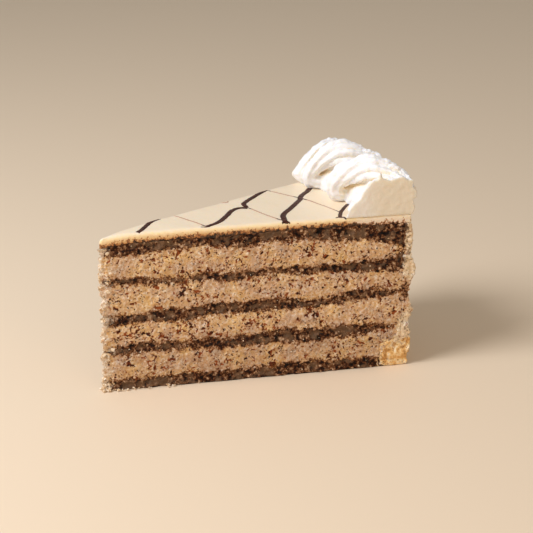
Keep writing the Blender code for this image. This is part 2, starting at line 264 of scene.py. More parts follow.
def paintAttribute(piece, name, valueAt):
    values = [valueAt(vertex.co) for vertex in piece.data.vertices]
    layer = piece.data.attributes.new(name, "FLOAT", "POINT")
    layer.data.foreach_set("value", values)


def copyOfNode(node, name):
    # a copy of a solid with its loose triangles merged
    piece = addObject(name, frame["nodes"][node].data.copy())
    piece.data.name = name
    pickAll(piece)
    bpy.ops.mesh.remove_doubles(threshold=0.002 * mm)
    bpy.ops.object.mode_set(mode="OBJECT")
    return piece


def dress(piece, material, slot, *nodes):
    piece.data.materials.clear()
    piece.data.materials.append(material)
    for face in piece.data.polygons:
        face.material_index = 0
    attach(piece, "root")
    if nodes:
        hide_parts(*nodes)


# Materials
def finishMaterial(material, colour, relief, strength, depth):
    # its colour, and a relief of that depth in mm too fine for the mesh
    tree = material.node_tree
    shader = tree.nodes["Principled BSDF"]
    bump = addNode(tree, "Bump", {"Height": relief, "Strength": strength, "Distance": depth * mm})
    tree.links.new(colour.outputs[2], shader.inputs["Base Color"])
    tree.links.new(bump.outputs[0], shader.inputs["Normal"])
    return material


def raggedBorder(tree, depth, wander, low, high, most=1.0):
    # 0 outside a border and up to 1 inside it; each pattern moves it by so many mm either way
    for pattern, reach in wander:
        step = addNode(tree, "Math", {0: pattern, 1: reach, 2: -0.5 * reach}, operation="MULTIPLY_ADD")
        depth = addNode(tree, "Math", {0: depth, 1: step}, operation="ADD")
    return addNode(tree, "MapRange", {"Value": depth, "From Min": low, "From Max": high,
                                      "To Max": most})


def cutTorteMaterial(name):
    # Nut buttercream set between browned nut meringue: matt and crumbly, beige with ground
    # walnut skins as dark specks, and near black with grey-beige grains where it is browned.
    material, tree, place = startMaterial(
        name, Roughness=0.62, Specular_IOR_Level=0.22, IOR=1.45,
        Subsurface_Weight=0.08, Subsurface_Radius=(1.0, 0.62, 0.35), Subsurface_Scale=0.0008)
    intoDark, intoCoat, intoGold, smear = (
        addNode(tree, "Attribute", attribute_name=key).outputs["Fac"]
        for key in ("intoDark", "intoCoat", "intoGold", "smear"))

    # cloud patterns: size of their features in mm, detail, roughness
    crags, crumbs, grain, clouds, thick, skinTone, burntCrumb, patches, coatClouds, goldClouds = (
        addNode(tree, "TexNoise", {"Vector": place, "Scale": 1 / size, "Detail": detail,
                                   "Roughness": roughness})
        for size, detail, roughness in (
            (2.6, 4.0, 0.6), (0.7, 3.0, 0.6), (1.1, 4.0, 0.64), (7.0, 4.0, 0.6), (6.0, 2.0, 0.5),
            (2.0, 2.0, 0.5), (1.8, 5.0, 0.66), (4.5, 3.0, 0.5), (4.0, 4.0, 0.5), (2.4, 4.0, 0.6)))

    # the cream's own tone, in clouds of 7 mm between grey and yellow, and its grain: partly a tone of its
    # own, partly painted highlights and shade of the fine crumb
    tone = addNode(tree, "ValToRGB", {"Fac": clouds},
                   ramp=[(0.34, "d5c5b8"), (0.45, "dfcab8"), (0.55, "e5cfb8"), (0.68, "ebd4b6")])
    grainToneAndPaintedLight = addNode(tree, "ValToRGB", {"Fac": grain},
                    ramp=[(0.36, "3a2210"), (0.45, "7a6454"), (0.55, "9c948c"), (0.66, "d4d0cc")])
    cream = addNode(tree, "Mix", {0: 0.65, 6: tone, 7: grainToneAndPaintedLight}, data_type="RGBA",
                    blend_type="OVERLAY")

    # painted shade: a touch darker from 22 mm down to 12, in the lowest layer
    height = addNode(tree, "SeparateXYZ", {0: place}).outputs["Z"]
    low = addNode(tree, "MapRange", {"Value": height, "From Min": 22.0, "From Max": 12.0})
    cream = addNode(tree, "Mix", {0: low, 6: cream, 7: linear("f4f3f2")}, data_type="RGBA",
                    blend_type="MULTIPLY")

    # walnut skins: flakes of 0.5 to 1.5 mm, thicker in some places than in others
    flakes = 0.0
    for size, least in ((2.4, 0.635), (1.3, 0.612), (0.8, 0.63)):
        flake = addNode(tree, "TexNoise", {"Vector": place, "Scale": 1.0 / size, "Detail": 1.5,
                                           "Distortion": 0.4})
        flake = raggedBorder(tree, flake, [(thick, 0.35)], least, least + 0.05)
        flakes = addNode(tree, "Math", {0: flakes, 1: flake}, operation="MAXIMUM")
    skins = addNode(tree, "ValToRGB", {"Fac": skinTone},
                    ramp=[(0.36, "2e0e04"), (0.48, "622a10"), (0.6, "964e24")])
    speckled = addNode(tree, "Mix", {0: flakes, 6: cream, 7: skins}, data_type="RGBA")

    # the browned sheets: a reddish rim, near black crumb with lighter grains in clouds of
    # 1.8 mm, and smooth grey-brown patches of 4.5 mm where the knife has dragged over them
    burnt = addNode(tree, "ValToRGB", {"Fac": burntCrumb},
                    ramp=[(0.41, "0c0301"), (0.46, "2e1206"), (0.52, "582f14"), (0.58, "8a6242"),
                          (0.66, "dcbc9c")])
    dragged = raggedBorder(tree, patches, [(crumbs, 0.1)], 0.48, 0.58, 0.7)
    innerPart = raggedBorder(tree, intoDark, [(crags, 7.0)], 0.5, 1.1)
    dragged = addNode(tree, "Math", {0: dragged, 1: innerPart}, operation="MULTIPLY")
    burnt = addNode(tree, "Mix", {0: dragged, 6: burnt, 7: linear("7a5f48")}, data_type="RGBA")
    inRim = raggedBorder(tree, intoDark, [(crags, 7.0), (crumbs, 4.0)], -0.7, -0.3, 0.8)
    inSheet = raggedBorder(tree, intoDark, [(crags, 7.0), (crumbs, 4.0)], -0.2, 0.3)

    # the coat at the rim and the golden lump in its corner
    coatTone = addNode(tree, "ValToRGB", {"Fac": coatClouds},
                       ramp=[(0.36, "d8bc98"), (0.5, "ecd6b6"), (0.66, "f8f0e4")])
    fewer = addNode(tree, "Math", {0: flakes, 1: 0.6}, operation="MULTIPLY")
    coatTone = addNode(tree, "Mix", {0: fewer, 6: coatTone, 7: skins}, data_type="RGBA")
    inCoat = raggedBorder(tree, intoCoat, [(crags, 5.0), (crumbs, 2.5)], -0.3, 0.3)
    gold = addNode(tree, "ValToRGB", {"Fac": goldClouds},
                   ramp=[(0.36, "cf9a5a"), (0.45, "edbe7c"), (0.54, "f8d8a2"), (0.64, "fff0d4")])
    gold = addNode(tree, "Mix", {0: fewer, 6: gold, 7: linear("a0662e")}, data_type="RGBA")
    inGold = raggedBorder(tree, intoGold, [(crags, 15.0), (crumbs, 8.0)], -0.4, 0.4)

    # cream dragged over the layers' ends by the knife
    veil = raggedBorder(tree, smear, [(crags, 2.2)], 0.58, 0.9, 0.85)
    pale = addNode(tree, "ValToRGB", {"Fac": grain}, ramp=[(0.36, "cfb290"), (0.6, "f6e7d4")])

    # each lies over what comes before it
    colour = speckled
    for share, tone in ((inRim, linear("8a5426")), (inSheet, burnt), (inCoat, coatTone),
                        (inGold, gold), (veil, pale)):
        colour = addNode(tree, "Mix", {0: share, 6: colour, 7: tone}, data_type="RGBA")
    relief = addNode(tree, "Math", {0: flakes, 1: -0.3, 2: grain}, operation="MULTIPLY_ADD")
    return finishMaterial(material, colour, relief, 0.7, 0.8)


def icingMaterial():
    # Fondant icing, poured and set: smooth and satin, cream-white, a little see-through, so
    # that its cut side is yellower, and amber where it meets the browned sheet under it.
    material, tree, place = startMaterial(
        "Poured fondant icing", Roughness=0.34, Specular_IOR_Level=0.45, IOR=1.48,
        Subsurface_Weight=0.25, Subsurface_Radius=(1.0, 0.72, 0.42), Subsurface_Scale=0.0025)
    depth = addNode(tree, "Attribute", attribute_name="intoIcing").outputs["Fac"]
    flecks = addNode(tree, "TexNoise", {"Vector": place, "Scale": 1 / 1.6, "Detail": 4.0})
    crumbs = addNode(tree, "TexNoise", {"Vector": place, "Scale": 1 / 1.3, "Detail": 5.0,
                                        "Roughness": 0.65})
    isDeep = raggedBorder(tree, depth, [(flecks, 0.4)], 0.0, 1.0)
    tone = addNode(tree, "ValToRGB", {"Fac": isDeep},
                   ramp=[(0.0, "f5e3c8"), (0.25, "f8e0b4"), (0.6, "e6c490"), (0.9, "cf9a5e")])

    # whipped cream smeared down the cut side
    smeared = addNode(tree, "Attribute", attribute_name="smeared").outputs["Fac"]
    smeared = addNode(tree, "Math", {0: smeared, 1: isDeep}, operation="MULTIPLY")
    smeared = raggedBorder(tree, smeared, [(crumbs, 0.5)], 0.05, 0.3, 0.75)
    tone = addNode(tree, "Mix", {0: smeared, 6: tone, 7: linear("f0e2d2")}, data_type="RGBA")

    # brown crumb picked up from the sheet below, reddish at its edge
    reddish = raggedBorder(tree, depth, [(crumbs, 2.4)], 0.62, 0.69, 0.9)
    browned = raggedBorder(tree, depth, [(crumbs, 2.4)], 0.78, 0.9)
    brown = addNode(tree, "ValToRGB", {"Fac": flecks}, ramp=[(0.4, "1e0f06"), (0.6, "6b4a30")])
    colour = addNode(tree, "Mix", {0: reddish, 6: tone, 7: linear("b0703c")}, data_type="RGBA")
    colour = addNode(tree, "Mix", {0: browned, 6: colour, 7: brown}, data_type="RGBA")
    soft = addNode(tree, "TexNoise", {"Vector": place, "Scale": 1 / 2.5, "Detail": 2.0})
    return finishMaterial(material, colour, soft, 0.12, 0.6)


def chocolateMaterial():
    # Dark chocolate, melted and drawn through wet icing: it sets smooth with a soft shine.
    material, tree, place = startMaterial(
        "Dark chocolate", Roughness=0.45, Specular_IOR_Level=0.25, IOR=1.46)
    streaks = addNode(tree, "TexNoise", {"Vector": place, "Scale": 1 / 1.2, "Detail": 3.0})
    drawnOut = addNode(tree, "Attribute", attribute_name="drawnOut").outputs["Fac"]
    thickTone = addNode(tree, "ValToRGB", {"Fac": streaks}, ramp=[(0.35, "361a12"), (0.65, "502c20")])
    tone = addNode(tree, "Mix", {0: drawnOut, 6: thickTone, 7: linear("c49a80")}, data_type="RGBA")
    return finishMaterial(material, tone, streaks, 0.2, 0.3)


def whippedCreamMaterial():
    # Whipped cream, matt to satin: white on top, with painted shade, warm and yellow, in its
    # folds, and darker and yellower on the cut, partly where the knife has smeared it and partly
    # painted shade.
    material, tree, place = startMaterial(
        "Whipped cream", Roughness=0.5, Specular_IOR_Level=0.35, IOR=1.42,
        Subsurface_Weight=0.4, Subsurface_Radius=(1.0, 0.85, 0.68), Subsurface_Scale=0.0025)
    paintedFoldShade, cutSmearAndShadeShare = (addNode(tree, "Attribute", attribute_name=key).outputs["Fac"]
                        for key in ("paintedFoldShade", "cutSmearAndShade"))
    clouds = addNode(tree, "TexNoise", {"Vector": place, "Scale": 1 / 3.0, "Detail": 3.0})
    # painted shade: warm and yellow where a place faces more cream
    foldShadeShare = raggedBorder(tree, paintedFoldShade, [(clouds, 0.15)], 0.15, 0.8)
    tone = addNode(tree, "ValToRGB", {"Fac": foldShadeShare}, ramp=[(0.0, "f3f3f5"), (0.5, "fbf3e6"),
                                                         (1.0, "ffecd0")])
    # the cut darker and yellower: partly the knife's smear, partly painted shade
    tone = addNode(tree, "Mix", {0: cutSmearAndShadeShare, 6: tone, 7: linear("eae1d0")}, data_type="RGBA")
    bubbles = addNode(tree, "TexNoise", {"Vector": place, "Scale": 1 / 0.7, "Detail": 4.0})
    return finishMaterial(material, tone, bubbles, 0.15, 0.4)


print("materials")
nutCream = cutTorteMaterial("Walnut buttercream")
nutMeringue = cutTorteMaterial("Browned nut meringue")
fondant = icingMaterial()
chocolate = chocolateMaterial()
buttercream = cutTorteMaterial("Buttercream coat")
whipped = whippedCreamMaterial()


# The layers, with their crumb
layerSet = {
    # the browned sheets where the front cut shows them: distance from the apex, lower and
    # upper edge, in mm
    "sheets": {
        0: [(0, -99, 4.4), (60, -99, 4.2), (80, -99, 5.0), (120, -99, 3.8)],
        2: [(3, 14.2, 17.6), (12, 15.4, 18.5), (20, 15.2, 19.1), (35, 15.1, 18.1), (51, 14.2, 18.0),
            (67, 14.5, 19.0), (75, 13.9, 20.0), (83, 13.6, 18.6), (99, 14.4, 19.4), (107, 15.3, 18.5),
            (115, 16.8, 18.0), (121, 17.4, 17.5)],
        4: [(3, 26.9, 31.2), (12, 27.2, 30.6), (20, 27.8, 31.9), (35, 26.6, 31.6), (43, 28.7, 32.6),
            (67, 28.6, 32.4), (75, 27.9, 32.3), (83, 28.7, 31.4), (91, 28.5, 30.9), (99, 29.6, 33.6),
            (107, 29.8, 34.3), (115, 30.6, 33.0), (121, 31.7, 32.4)],
        6: [(3, 44.0, 46.6), (12, 43.9, 45.9), (20, 43.2, 45.3), (35, 42.8, 44.7), (43, 43.1, 45.5),
            (51, 42.1, 44.9), (67, 43.4, 45.4), (75, 42.6, 45.6), (99, 42.6, 45.4), (107, 41.7, 45.5),
            (115, 41.0, 46.0), (121, 40.5, 47.5)],
        8: [(3, 54.9, 99), (12, 55.6, 99), (20, 55.4, 99), (35, 57.0, 99), (43, 57.1, 99),
            (51, 55.7, 99), (59, 55.4, 99), (67, 56.7, 99), (83, 57.1, 99), (91, 55.2, 99),
            (107, 54.8, 99), (115, 53.2, 99), (121, 51.0, 99)],
    },
    # where the coat begins on the front cut: height, mm from the apex
    "coatFrom": [(0, 118), (11, 118.4), (13, 119.6), (20, 120.6), (26, 125.4), (36, 125.6), (39, 121.8),
                 (46, 122.6), (60, 123.4)],
    # browned crumb beside the coat: height, from and to in mm from the apex
    "rimCrumb": [(25, 125, 121), (29, 123.2, 123.0), (31, 122.2, 123.8),
                 (34, 122.2, 123.8), (36, 123.6, 122.6), (38, 124, 122), (41, 123, 121),
                 (44, 121.2, 122.8), (58, 120.2, 123.0), (61, 119.4, 124.0)],
    "golden": (113.8, 10.2),        # the lump: mm from the apex, and up to what height
    "goldenRound": 1.6,             # the less, the more its corner is rounded off
    "goldenFade": (3.0, 0.9),       # degrees where it starts to shrink, and mm per degree
    "creamCuts": 11, "meringueCuts": 8,     # how often the edges of the cut faces are split
    "closeGap": 0.17 * mm,      # the real layers touch
    "nearFace": 0.4, "nearRim": 0.6,        # mm within which a point is on that face
    "crags": (3.4, 0.9),        # size and depth of the relief, in mm
    "crumb": (1.6, 0.6),
    "grit": (0.9, 0.3),
    "reliefBehind": 3.0,        # mm behind the cut where the relief has faded out
    "reliefMiddle": 0.8,        # mm either side of the tip's middle where it fades as well
    "meringueRougher": 1.25,
    "tipRougher": 3.0, "tipReach": 3.5,
    "smearReach": 6.0,          # mm from the apex over which cream is smeared on the layers
}
cragRelief = reliefTexture("crags", "CLOUDS", layerSet["crags"][0], noise_depth=2)
crumbRelief = reliefTexture("crumb", "VORONOI", layerSet["crumb"][0], noise_intensity=1.0)
gritRelief = reliefTexture("grit", "CLOUDS", layerSet["grit"][0], noise_depth=2)


def between(rows, where):
    # the row of values at a place along a list of rows
    if where <= rows[0][0]:
        return rows[0][1:]
    for one, two in zip(rows, rows[1:]):
        if where <= two[0]:
            share = (where - one[0]) / (two[0] - one[0])
            return [a + (b - a) * share for a, b in zip(one[1:], two[1:])]
    return rows[-1][1:]


def depthInSheet(place):
    # mm into the nearest browned sheet, negative in the cream
    z = place.z / mm
    if place.y < 0.0:
        radius = fromApex(place)[0]
        edges = [between(rows, radius) for rows in layerSet["sheets"].values()]
        rimLow, rimHigh = between(layerSet["rimCrumb"], z)
        atRim = min(radius - rimLow, rimHigh - radius)
    else:
        edges = [(levelHeight(sheet, place) if sheet else -99.0,
                  levelHeight(sheet + 1, place) if sheet < 8 else 99.0) for sheet in range(0, 9, 2)]
        atRim = -99.0
    return max(atRim, max(min(z - low, high - z) for low, high in edges))


def isAtRim(place):
    radius, angle = fromApex(place)
    return abs(radius - rimAt(place.z / mm, angle)) < layerSet["nearRim"]


def depthInCoat(place):
    radius, angle = fromApex(place)
    if place.y < 0.0 and angle < 1.0:
        return radius - between(layerSet["coatFrom"], place.z / mm)[0]
    return radius - wedge["radius"] / mm + wedge["coat"][0]


def depthInGold(place):
    radius, angle = fromApex(place)
    start, top = layerSet["golden"]
    across, up = radius - start, top - place.z / mm
    inside = min(across, up)
    if inside > 0.0:
        inside = layerSet["goldenRound"] / (1.0 / across + 1.0 / up)
    fadeFrom, perDegree = layerSet["goldenFade"]
    return inside - perDegree * max(0.0, angle - fadeFrom)


def paintFood(piece):
    paintAttribute(piece, "intoDark", depthInSheet)
    paintAttribute(piece, "intoCoat", depthInCoat)
    paintAttribute(piece, "intoGold", depthInGold)
    paintAttribute(piece, "smear", lambda p: bell(fromApex(p)[0] / layerSet["smearReach"]))


def roughenCuts(piece, rougher):
    # crags, crumb and grit pushed into both cuts and, more, into the tip
    def nearCut(place, side):
        fromTip = place.x - wedge["apexX"]
        across = side * place.y * math.cos(wedge["half"]) - fromTip * math.sin(wedge["half"])
        return smooth(1.0 + across / (layerSet["reliefBehind"] * mm)) * smooth(
            side * place.y / (layerSet["reliefMiddle"] * mm))

    paintWeights(piece, "frontCut", lambda p: nearCut(p, -1.0))
    paintWeights(piece, "backCut", lambda p: nearCut(p, 1.0))
    paintWeights(piece, "tip", lambda p: bell(fromApex(p)[0] / layerSet["tipReach"]))
    for texture, key in ((cragRelief, "crags"), (crumbRelief, "crumb"), (gritRelief, "grit")):
        depth = layerSet[key][1] * mm * rougher
        for group, axis, sign in (("frontCut", "Y", -1.0), ("backCut", "Y", 1.0),
                                  ("tip", "X", -layerSet["tipRougher"])):
            pushOut(piece, texture, sign * depth, axis, group)


def dressLayer(level):
    number = level // 2 + 1
    isCream = level % 2 == 1
    slot = "nut_cream" if isCream else "nut_meringue"
    node = f"{slot}_{number}"
    piece = copyOfNode(node, f"cut_{node}")

    # close the gaps to the layers above and below and to the coat
    gap, near = layerSet["closeGap"], layerSet["nearFace"]
    for vertex in piece.data.vertices:
        z = vertex.co.z / mm
        if abs(z - levelHeight(level + 1, vertex.co)) < near:
            vertex.co.z += gap
        elif level > 0 and abs(z - levelHeight(level, vertex.co)) < near:
            vertex.co.z -= gap
        if isAtRim(vertex.co):
            vertex.co.x += gap

    # split the faces of both cuts and of the tip
    pickNone(piece, "FACE")
    for face in piece.data.polygons:
        face.select = face.normal.x < 0.4 and abs(face.normal.z) < 0.8
    bpy.ops.object.mode_set(mode="EDIT")
    cuts = layerSet["creamCuts"] if isCream else layerSet["meringueCuts"]
    bpy.ops.mesh.subdivide(number_cuts=cuts)
    bpy.ops.object.mode_set(mode="OBJECT")

    roughenCuts(piece, 1.0 if isCream else layerSet["meringueRougher"])
    paintFood(piece)
    bpy.ops.object.shade_smooth()
    dress(piece, nutCream if isCream else nutMeringue, slot, node)
    return piece


layers = [dressLayer(level) for level in range(9)]
print("layers", sum(len(piece.data.polygons) for piece in layers))


# The coat on the rim
coatSet = {
    "voxel": 0.4 * mm,
    "smears": (4.0, 0.7), "crumb": (1.6, 0.8),      # size and depth of the relief, in mm
    "topFrom": 59.0, "raiseTop": 0.75 * mm,         # all above that height, up to the icing
    "reliefFrom": 122.0, "reliefFade": 1.5,         # mm from the apex
    "height": wedge["levels"][-1], "edgeFade": 1.0,     # mm
}
smearRelief = reliefTexture("smears", "CLOUDS", coatSet["smears"][0], noise_depth=3)
coatRelief = reliefTexture("coat crumb", "VORONOI", coatSet["crumb"][0], noise_intensity=1.0)


def buildCoat():
    piece = copyOfNode("side_coat", "rim_coat")
    for vertex in piece.data.vertices:
        if vertex.co.z > coatSet["topFrom"] * mm:
            vertex.co.z += coatSet["raiseTop"]
        if isAtRim(vertex.co):
            vertex.co.x -= layerSet["closeGap"]
    addModifier(piece, "REMESH", mode="VOXEL", voxel_size=coatSet["voxel"])
    fade = coatSet["edgeFade"]
    paintWeights(piece, "rim", lambda p: smooth(
        (fromApex(p)[0] - coatSet["reliefFrom"]) / coatSet["reliefFade"]) * smooth(
            (p.z / mm) / fade) * smooth((coatSet["height"] - p.z / mm) / fade))
    for texture, key in ((smearRelief, "smears"), (coatRelief, "crumb")):
        pushOut(piece, texture, coatSet[key][1] * mm, group="rim")
    roughenCuts(piece, 1.0)
    paintFood(piece)
    bpy.ops.object.shade_smooth()
    dress(piece, buttercream, "side_coat", "side_coat")
    return piece


coat = buildCoat()
print("coat", len(coat.data.polygons))


# The icing
icingSet = {
    "base": wedge["levels"][-1], "top": wedge["icingTop"],      # mm
    "sides": 360,                   # of the whole round
    "nose": 2.3 * mm, "noseSteps": 3, "edge": 1.5 * mm, "edgeSteps": 5,
    "voxel": 0.5 * mm,
    "waves": (13.0, 0.3), "wavesFrom": (63.0, 0.8),     # mm
    "cutGrit": (1.1, 0.3),          # like the waves, size and depth of the relief
    "smearedFrom": (96.0, 14.0),    # mm from the apex, and over what length it grows
    # how much browner the cut side is: mm from the apex, added share
    "stain": [(25.0, 0.0), (90.0, 0.32), (100.0, 0.25), (110.0, -0.05), (121.0, -0.1), (124.0, -0.5)],
}


def icingSurface(place):
    droop, length = wedge["droop"]
    return icingSet["top"] - droop * math.exp(-fromApex(place)[0] / length)


def depthInIcing(place):
    # 0 on top and 1 at its foot, and more where the cut side is browner
    depth = (icingSurface(place) - place.z / mm) / (icingSet["top"] - icingSet["base"])
    return max(0.0, min(1.0, depth)) * (1.0 + between(icingSet["stain"], fromApex(place)[0])[0])


def buildIcing():
    base, top = icingSet["base"] * mm, icingSet["top"] * mm
    piece = wedgeBlock(wedge["radius"], base, top, icingSet["sides"])
    piece.name = piece.data.name = "icing_sheet"

    # blunt the tip, then round the upper edges
    pickEdges(piece, lambda p: p.x < wedge["apexX"] + 0.01 * mm)
    bpy.ops.mesh.bevel(offset=icingSet["nose"], segments=icingSet["noseSteps"])
    pickEdges(piece, lambda p: p.z > top - 0.01 * mm)
    bpy.ops.mesh.bevel(offset=icingSet["edge"], segments=icingSet["edgeSteps"])
    bpy.ops.object.mode_set(mode="OBJECT")
    addModifier(piece, "REMESH", mode="VOXEL", voxel_size=icingSet["voxel"])

    # lay it on the uneven sheet below, and let it sink at the tip
    for vertex in piece.data.vertices:
        share = (vertex.co.z - base) / (top - base)
        under = levelHeight(9, vertex.co)
        over = icingSurface(vertex.co)
        vertex.co.z = (under + (over - under) * share) * mm
    smearedFrom, smearedOver = icingSet["smearedFrom"]
    paintAttribute(piece, "intoIcing", depthInIcing)
    paintAttribute(piece, "smeared", lambda p: smooth((fromApex(p)[0] - smearedFrom) / smearedOver))

    wavesFrom, wavesOver = icingSet["wavesFrom"]
    paintWeights(piece, "top", lambda p: smooth((p.z / mm - wavesFrom) / wavesOver) * (
        1.0 - besideCut(p)))
    paintWeights(piece, "side", besideCut)
    for key, axis, group in (("waves", "Z", "top"), ("cutGrit", "NORMAL", "side")):
        size, depth = icingSet[key]
        pushOut(piece, reliefTexture(key, "CLOUDS", size), depth * mm, axis, group)
    bpy.ops.object.shade_smooth()
    dress(piece, fondant, "icing", "icing")
    return piece


icing = buildIcing()
print("icing", len(icing.data.polygons))


# The feathered chocolate
feathering = {
    "halfWidths": [1.05, 1.15, 1.1, 1.2, 1.2, 0.85],    # mm, of the strokes
    "threadHalfWidth": 0.42, "splashHalfWidth": 0.55,
    "flatness": 0.26,
    "voxel": 0.13 * mm, "wobble": (1.1, 0.25),      # size and depth in mm
    "threadFrom": 1.2,          # mm from the nearest stroke where a thread turns pale
    "runDown": 1.5 * mm,        # how much lower it hangs where there is no icing under it
    # distance from the apex in mm and degrees from the front cut
    "strokes": [
        [(16.4, 4.2), (17.6, 8.0), (20.4, 16.6), (26.2, 27.2), (31.0, 29.6)],
        [(43.4, 2.3), (48.0, 5.9), (54.5, 13.3), (60.9, 19.1), (64.0, 19.7), (66.6, 18.3)],
        [(87.2, 29.7), (78.1, 27.2), (71.0, 24.5), (68.4, 22.9), (67.0, 19.6)],
        [(73.9, 0.2), (74.3, 3.0), (75.4, 6.4), (82.6, 12.6), (91.1, 17.8)],
        [(90.6, 17.6), (93.4, 19.8), (98.8, 22.0), (105.3, 24.1), (107.8, 23.1)],
        [(96.0, 0.6), (97.0, 2.6), (99.4, 5.4), (105.2, 9.6)],
    ],
    "threads": [
        [(37.8, 29.6), (38.9, 18.1), (41.4, 7.4), (42.3, 4.3), (43.4, 2.6)],
        [(67.0, 19.6), (67.8, 14.9), (70.0, 7.2), (72.3, 3.0), (73.8, 1.5)],
        [(87.3, 29.8), (88.6, 25.5), (90.6, 20.8), (92.5, 17.1), (95.5, 9.7), (98.4, 4.4)],
        [(62.6, 29.5), (63.4, 28.4), (65.0, 28.2), (66.0, 29.4)],
    ],
    # where a stroke's end ran out along the icing's edge
    "splashes": [
        [(40.8, 2.2), (43.2, 1.9), (46.4, 3.2)],
        [(72.6, 0.3), (74.0, 0.9), (75.8, 0.2)],
        [(94.2, 0.7), (96.2, 1.0), (98.4, 0.2)],
    ],
}


def drawLine(points, halfWidth, taper):
    # one line of chocolate: a round curve through the points, thin at its ends
    curve = bpy.data.curves.new("line", "CURVE")
    curve.dimensions = "3D"
    curve.bevel_depth = halfWidth * mm
    curve.bevel_resolution = 3
    curve.resolution_u = 10
    curve.use_fill_caps = True
    spline = curve.splines.new("BEZIER")
    spline.bezier_points.add(len(points) - 1)
    for index, (radius, angle) in enumerate(points):
        point = spline.bezier_points[index]
        point.co = polar(radius, angle, icingSet["top"])
        point.handle_left_type = point.handle_right_type = "AUTO"
        point.radius = taper if index in (0, len(points) - 1) else 1.0
    makeActive(addObject("line", curve))
    bpy.ops.object.convert(target="MESH")
    return bpy.context.active_object


def buildFeathering():
    strokes = [drawLine(points, halfWidth, 0.9)
               for points, halfWidth in zip(feathering["strokes"], feathering["halfWidths"])]
    strokes += [drawLine(points, feathering["splashHalfWidth"], 0.5) for points in feathering["splashes"]]
    threads = [drawLine(points, feathering["threadHalfWidth"], 0.7) for points in feathering["threads"]]
    thick = KDTree(sum(len(line.data.vertices) for line in strokes))
    for line in strokes:
        for vertex in line.data.vertices:
            thick.insert(vertex.co, 0)
    thick.balance()
    piece = joinPieces("chocolate_feathering", strokes + threads)
    pickAll(piece)
    bpy.ops.transform.resize(value=(1.0, 1.0, feathering["flatness"]),
                             center_override=(0.0, 0.0, icingSet["top"] * mm))
    bpy.ops.object.mode_set(mode="OBJECT")
    addModifier(piece, "REMESH", mode="VOXEL", voxel_size=feathering["voxel"])

    # 1 where only a thread was drawn out of a stroke
    paintAttribute(piece, "drawnOut", lambda p: smooth(thick.find(Vector((
        p.x, p.y, icingSet["top"] * mm)))[2] / mm - feathering["threadFrom"]))
    size, depth = feathering["wobble"]
    pushOut(piece, reliefTexture("wobble", "CLOUDS", size), depth * mm)

    # follow the icing, over its rounded edge too
    surface = BVHTree.FromObject(icing, bpy.context.evaluated_depsgraph_get())
    for vertex in piece.data.vertices:
        start = Vector((vertex.co.x, vertex.co.y, 0.1))
        hit = surface.ray_cast(start, Vector((0.0, 0.0, -1.0)))[0]
        height = hit.z if hit else vertex.co.z - feathering["runDown"]
        vertex.co.z += height - icingSet["top"] * mm
    bpy.ops.object.shade_smooth()
    dress(piece, chocolate, "icing")
    return piece


chocolateLines = buildFeathering()
print("feathering", len(chocolateLines.data.polygons))


# The whipped cream
rope = {
    "middle": (110.5, 8.0),         # mm from the apex, and over the icing
    # one loop, in equal steps: mm from the apex, mm over the icing, degrees, half thickness,
    # depth of its grooves as a share of that
    "loop": [(119.6, 11.2, -1.0, 6.6, 0.5), (112.8, 14.6, 1.4, 6.4, 0.36),
             (106.6, 12.8, 2.6, 5.0, 0.26), (102.8, 8.8, 3.2, 4.4, 0.2),
             (103.0, 4.4, 2.4, 4.2, 0.18), (107.0, 2.8, 0.4, 4.2, 0.2),
             (113.0, 4.5, -2.2, 5.6, 0.3), (120.0, 8.4, -2.5, 6.7, 0.5)],
    "pitch": 12.4, "start": 4.4, "crowd": 3.8,    # degrees, crowd closes up the last loop
    "loops": (-1.6, 3.2), "steps": 60,      # the first and last loop, and steps in each
    # how many ridges, points to each and how sharp, then fine lines and their depth
    "ridges": 9, "perRidge": 18, "sharp": 0.7, "lines": (27, 0.05),
    # degrees where the far end starts to sink and over how many, by what share, least share
    "sag": (20.0, 10.0, 0.27, 0.3),
    "leanBack": (3.5, 5.0, 6.0),    # mm outwards, from what height and over what height
    "farOut": 3.8,                  # mm outwards at the far end
    "leanFront": (6.0, 3.0, 5.0),   # the same as leanBack, at the front
    "leanFrontTo": (112.0, 6.0, 4.0),       # mm from the apex, fading over mm and degrees
    # the bed below the loops: its inner and outer edge and height in mm, then its first and
    # last degree, sections, and points over its top
    "bed": (105.2, 124.6, 11.0), "bedTurn": (-9.0, 39.0), "bedSections": 40, "bedPoints": 54,
    # outline of the front cut: mm from the apex and over the icing
    "cutLine": [(97.6, -0.5), (99.0, 2.6), (103.0, 7.6), (107.6, 13.0), (112.0, 17.6), (112.9, 15.2),
                (116.0, 14.2), (119.8, 15.4), (121.8, 14.6), (123.4, 14.0)],
    "cutSide": [(123.8, 12.6), (125.4, 11.4), (126.0, 9.4), (127.4, 8.0), (127.0, 6.2), (125.2, 5.6),
                (126.0, 3.8), (126.4, 2.0), (125.4, -0.5)],
    "frontAngle": 2.0, "pressAngle": 2.1,   # degrees over which that outline gives way
    # what cuts it with the slice: mm past the rim, its lowest and highest mm, its sides
    "cutter": (12.0, 64.0, 104.0, 96),
    "bodyAt": (112.0, 6.0),         # mm from the apex and over the icing, in the one big body
    # size and depth of the relief in mm
    "cutRelief": (2.2, 0.3), "lumps": (2.4, 0.55), "bulges": (7.5, 2.4), "ragged": (2.0, 1.7),
    "raggedFrom": (115.0, 5.0),     # mm from the apex, and over what length it grows
    "voxel": 0.32 * mm,
    "foldShadeReach": 9.0,               # mm across which one flank casts painted shade on the other
    "smearedFrom": (103.0, 12.0),   # the same for the part of the cut that is darker and yellower, smeared and with painted shade
}


